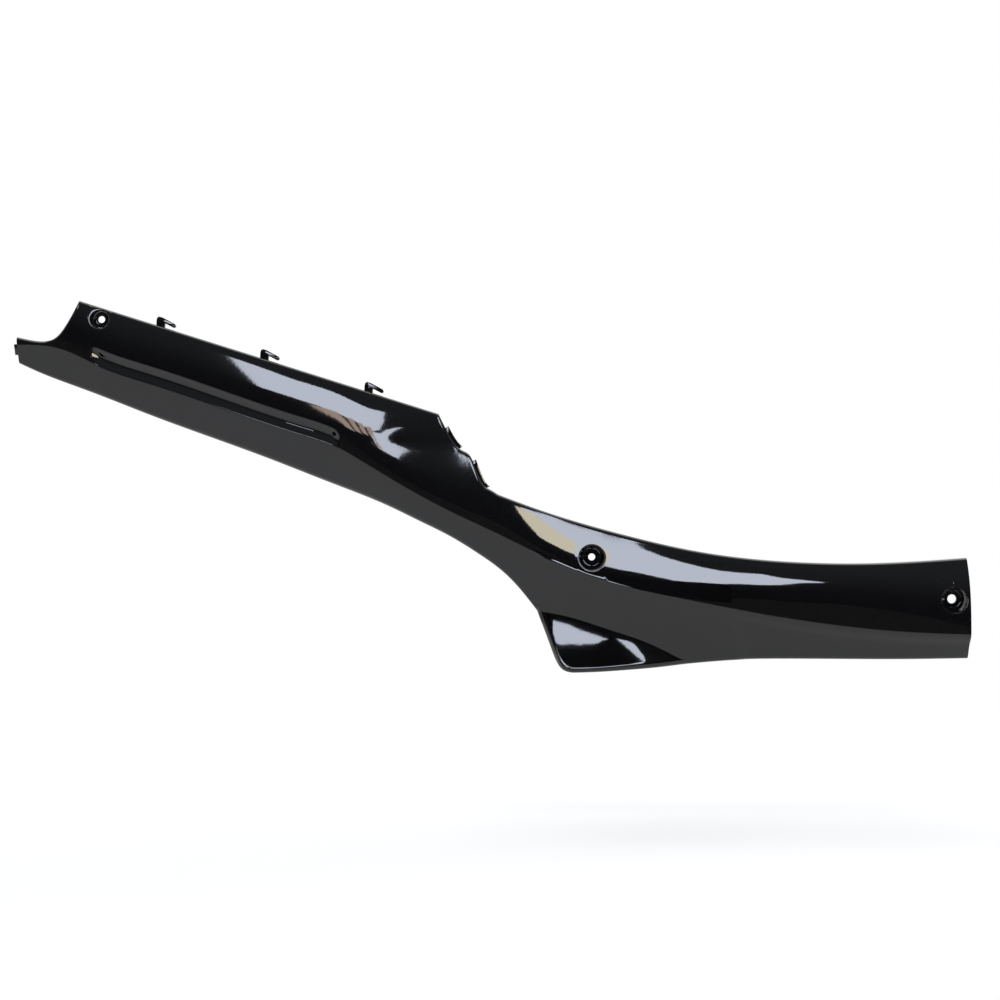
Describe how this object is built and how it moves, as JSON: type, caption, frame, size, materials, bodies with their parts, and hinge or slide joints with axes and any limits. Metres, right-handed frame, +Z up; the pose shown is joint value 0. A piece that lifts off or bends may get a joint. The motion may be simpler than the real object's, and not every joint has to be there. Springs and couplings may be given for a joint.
{
  "type": "scooter lower side cover",
  "caption": "Long thin moulded side cover with a rising rear arm, a notch, a hanging flare and a low sill; screw recesses, hooks and a long groove.",
  "frame": {"origin": "seat of the centre screw, on the screw's axis", "axes": "+X forward along the cover, +Z up, outer face towards -Y"},
  "size_m": [0.949, 0.0411, 0.3695],
  "materials": {
    "side_cover": "gloss black, as moulded"
  },
  "bodies": {
    "root": {"side_cover": "side_cover"}
  },
  "joints": []
}
